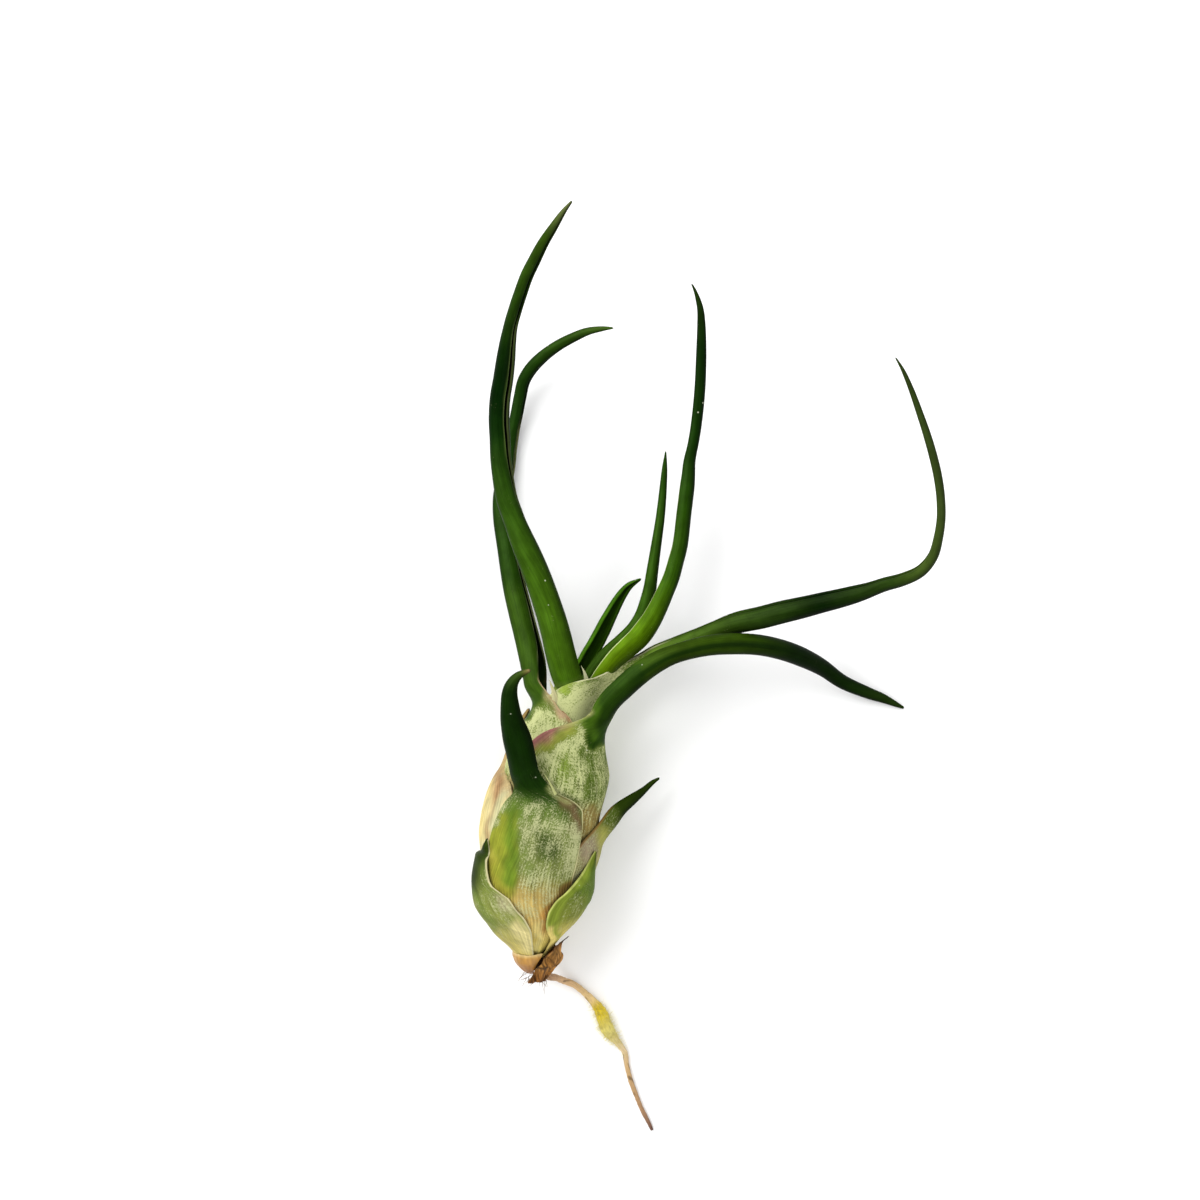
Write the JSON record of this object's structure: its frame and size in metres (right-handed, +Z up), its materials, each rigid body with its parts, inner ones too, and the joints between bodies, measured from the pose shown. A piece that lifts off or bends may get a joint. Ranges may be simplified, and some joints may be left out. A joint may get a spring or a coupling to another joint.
{
  "type": "bulbosa air plant",
  "caption": "Small bulbous air plant lying on its side: nested pale leaf bases, long rolled green leaves, dry scales and a wiry root.",
  "frame": {"origin": "on the flat spot of the bulb's belly, at the level of the surface that the plant lies on", "axes": "+Y from the root end along the bulb towards the leaf tips, +Z up from the surface, +X to the side that the arching leaf reaches"},
  "size_m": [0.0643, 0.1314, 0.052],
  "materials": {
    "woody": "dry brown stem, matt",
    "dry_scale": "smooth tan dry scale, satin",
    "husk": "crumpled dark brown husk, matt",
    "pale_leaf": "pale green leaf under silvery scales, soft sheen",
    "straw_leaf": "straw-coloured dry leaf, satin",
    "dark_leaf": "dark green leaf, smooth with a soft gloss",
    "green_leaf": "mid green leaf, smooth with a soft gloss",
    "bright_leaf": "yellow-green leaf, smooth with a soft gloss",
    "root": "wiry tan root, matt"
  },
  "bodies": {
    "root": {"stem": "woody", "old_scale_tan": "dry_scale", "old_scale_brown": "husk", "leaf_01_short_outer_left": "pale_leaf", "leaf_02_short_outer_right": "pale_leaf", "leaf_03_claw_front": "pale_leaf", "leaf_04_short_right": "pale_leaf", "leaf_05_pale_left": "straw_leaf", "leaf_06_arching_right": "dark_leaf", "leaf_07_long_low_left": "dark_leaf", "leaf_08_long_rising_right": "dark_leaf", "leaf_09_long_upright": "green_leaf", "leaf_10_bright_upright": "bright_leaf", "leaf_11_slim_upright": "green_leaf", "leaf_12_young_centre": "dark_leaf", "root": "root"}
  },
  "joints": []
}
